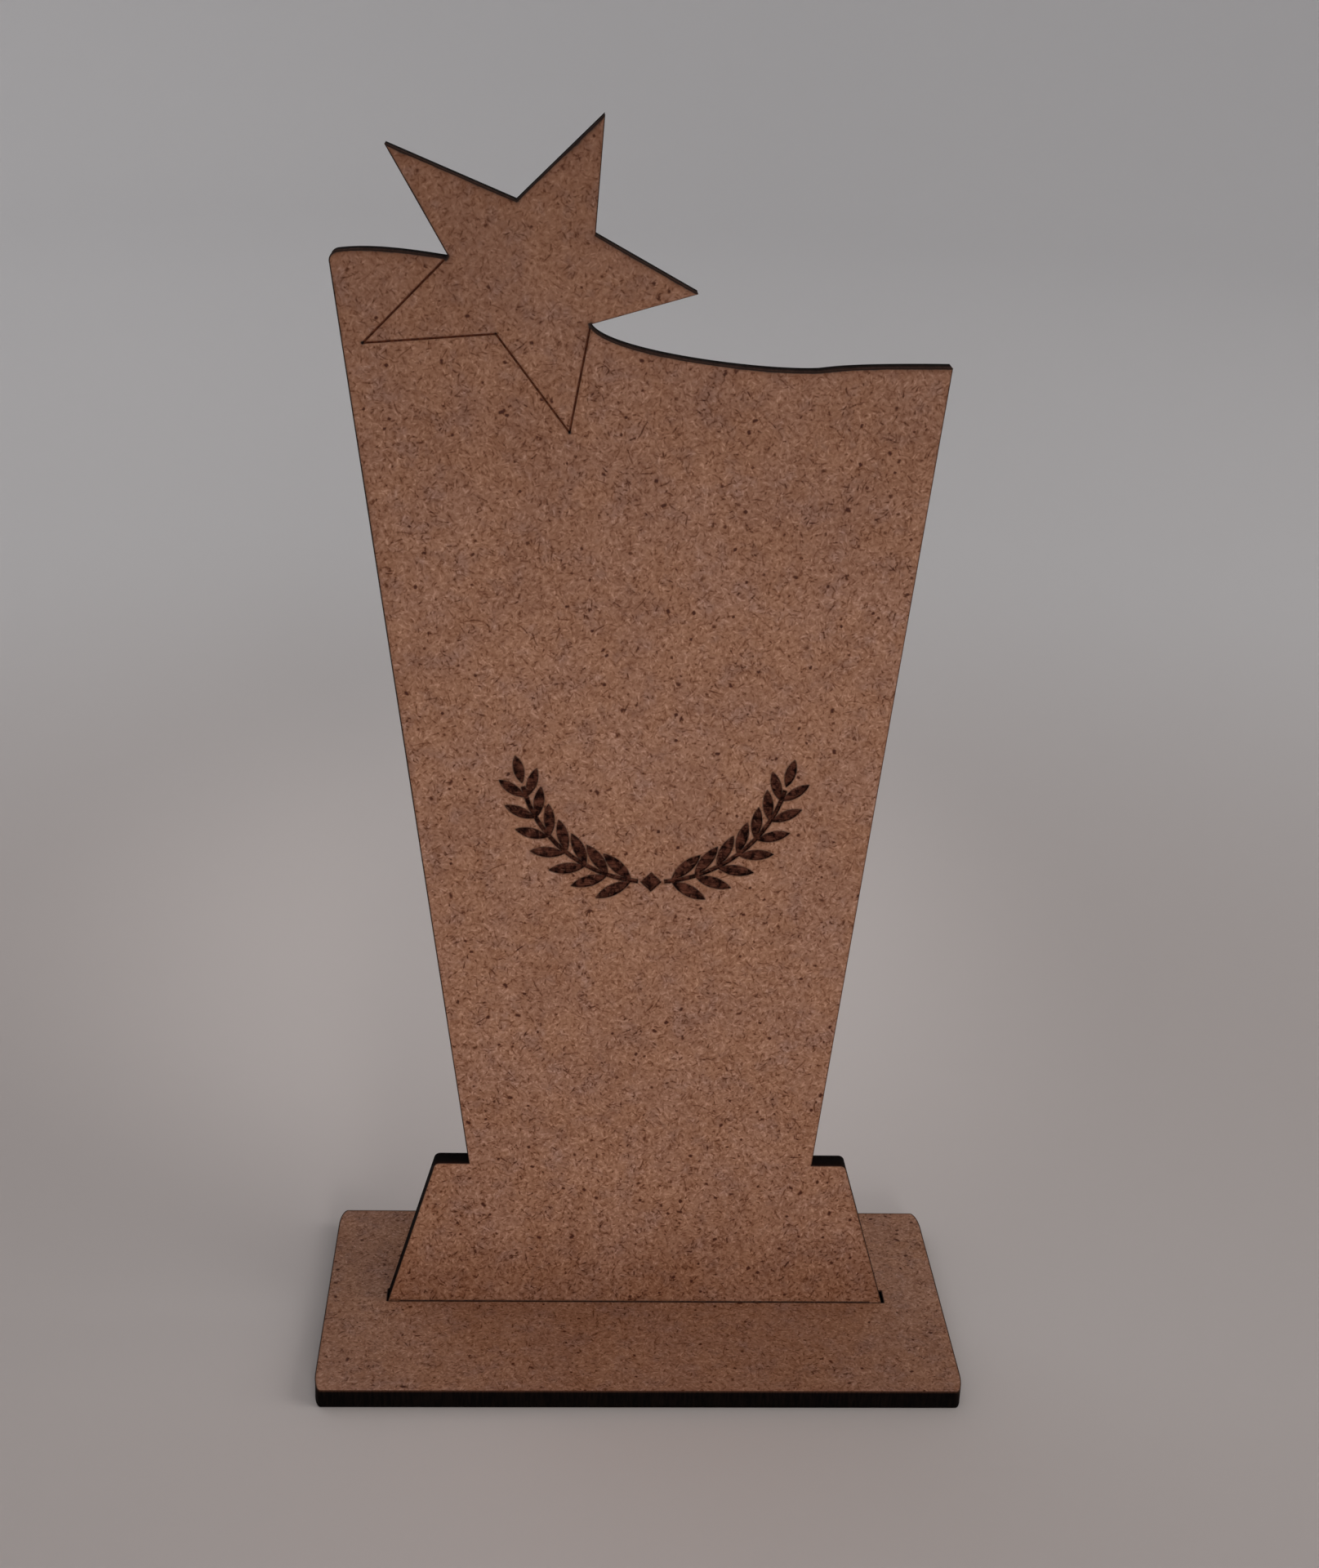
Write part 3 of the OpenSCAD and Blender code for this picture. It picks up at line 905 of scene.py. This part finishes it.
# ---------------------------------------------------------------- floor, light and camera
def sweep():
    """A pale round floor that curves up into a plain wall all round, well away from the trophy. Its colour holds
    painted shade and light: darker close to the trophy, a painted pool of light just behind it, and lighter further
    out.
    """
    r = [0.3, 0.6, 0.9, 1.2] + [1.2 + 0.8 * math.sin(a) for a in np.radians(np.linspace(6, 90, 15))] + [2.0]
    z = [0.0] * 4 + [0.8 - 0.8 * math.cos(a) for a in np.radians(np.linspace(6, 90, 15))] + [3.5]
    n = 96
    turn = 2 * math.pi * np.arange(n) / n
    v = [(0, 0, -0.00005)] + [(x * math.cos(t), x * math.sin(t), y - 0.00005) for x, y in zip(r, z) for t in turn]
    f = [(0, 1 + k, 1 + (k + 1) % n) for k in range(n)]
    f += [(1 + i * n + k, 1 + (i + 1) * n + k, 1 + (i + 1) * n + (k + 1) % n, 1 + i * n + (k + 1) % n)
          for i in range(len(r) - 1) for k in range(n)]
    mesh = bpy.data.meshes.new("floor")
    mesh.from_pydata(v, [], f)
    mesh.polygons.foreach_set("use_smooth", np.ones(len(f), bool))
    o = bpy.data.objects.new("floor", mesh)
    scene.collection.objects.link(o)
    m = Nodes("floor_pale")
    c = m.nt.nodes.new("ShaderNodeTexCoord")
    far = m.nt.nodes.new("ShaderNodeVectorMath")
    far.operation = "LENGTH"
    m.link(c.outputs["Object"], far.inputs[0])
    n = m.noise(c.outputs["Object"], 3.0, 2.0, 0.5, "3D").outputs["Fac"]
    # painted shade: close to the trophy the floor gets a darker colour than further out
    near = m.mix(n, lin(212, 204, 202), lin(216, 208, 206))
    # painted pool of light: the floor just behind the trophy is given a lighter colour, standing in for light falling
    # there
    painted_light_pool = m.nt.nodes.new("ShaderNodeVectorMath")
    painted_light_pool.operation = "DISTANCE"
    m.link(m.vmath("MULTIPLY", c.outputs["Object"], (1.5, 1.0, 0.0)), painted_light_pool.inputs[0])
    painted_light_pool.inputs[1].default_value = (-0.0225, 0.16, 0)
    near = m.mix(m.ramp(painted_light_pool.outputs["Value"], 0.05, 0.2, 1.0, 0.0), near, lin(238, 230, 228))
    # painted light: from 0.15 to 0.5 m out the floor turns lighter, and so does the whole wall
    m.link(m.mix(m.ramp(far.outputs["Value"], 0.15, 0.5), near, lin(231, 229, 230)), m.bsdf.inputs["Base Color"])
    m.bsdf.inputs["Roughness"].default_value = 0.55
    m.bsdf.inputs["Specular IOR Level"].default_value = 0.25
    mesh.materials.append(m.mat)


def area(name, at, to, size, watts, colour, spread=180):
    d = bpy.data.lights.new(name, "AREA")
    d.shape = "RECTANGLE"
    d.size, d.size_y = size
    d.energy = watts
    d.color = colour
    d.spread = math.radians(spread)
    o = bpy.data.objects.new(name, d)
    o.location = at
    o.rotation_euler = (Vector(to) - Vector(at)).to_track_quat("-Z", "Y").to_euler()
    o.visible_camera = False
    scene.collection.objects.link(o)


sweep()
area("key", (1.2, -0.3, 0.6), (0, 0, 0.08), (1.0, 1.0), 2.73, (1.0, 0.98, 0.94), 120)
area("top", (0, 0, 1.5), (0, 0, 0), (1.2, 1.2), 2.74, (1.0, 0.95, 0.9))
area("rear", (-0.8, 0.9, 1.3), (0, 0.2, 0), (1.2, 1.0), 2.25, (0.92, 0.96, 1.0))
area("front", (0.22, -0.8, 0.3), (0, 0, 0.085), (0.25, 0.25), 0.0280, (1.0, 1.0, 1.0), 24)
area("front_low", (0.1, -0.7, 0.2), (0, 0, 0.07), (0.2, 0.2), 0.0270, (1.0, 0.97, 0.92), 16)
area("wall", (0, 0.7, 1.3), (0, 2.0, 0.7), (1.5, 0.6), 2.74, (0.98, 1.0, 1.0))
area("wall_right", (0.7, 0, 1.3), (2.0, 0, 0.7), (1.5, 0.6), 3.0, (1.0, 1.0, 1.0))
area("wall_left", (-0.7, 0, 1.3), (-2.0, 0, 0.7), (1.5, 0.6), 3.0, (1.0, 1.0, 1.0))
area("wall_front", (0, -0.7, 1.3), (0, -2.0, 0.7), (1.5, 0.6), 3.0, (1.0, 1.0, 1.0))
world = bpy.data.worlds.new("soft")
scene.world = world
world.use_nodes = True
background = world.node_tree.nodes["Background"]
background.inputs[0].default_value = (0.97, 0.98, 1.0, 1)
background.inputs[1].default_value = 0.015
scene.view_settings.view_transform = "Standard"
scene.view_settings.look = "None"

camera = bpy.data.cameras.new("camera")
camera.sensor_width = 36.0
camera.lens = 51.76769
camera.clip_start, camera.clip_end = 0.01, 50
eye = bpy.data.objects.new("camera", camera)
eye.matrix_world = Matrix.Translation((-0.0168148, -0.3104252, 0.2180562)) @ Matrix((
    (0.998488, -0.015911, -0.052622), (-0.042878, 0.373635, -0.926584), (0.034405, 0.927439, 0.372388))).to_4x4()
scene.collection.objects.link(eye)
scene.camera = eye
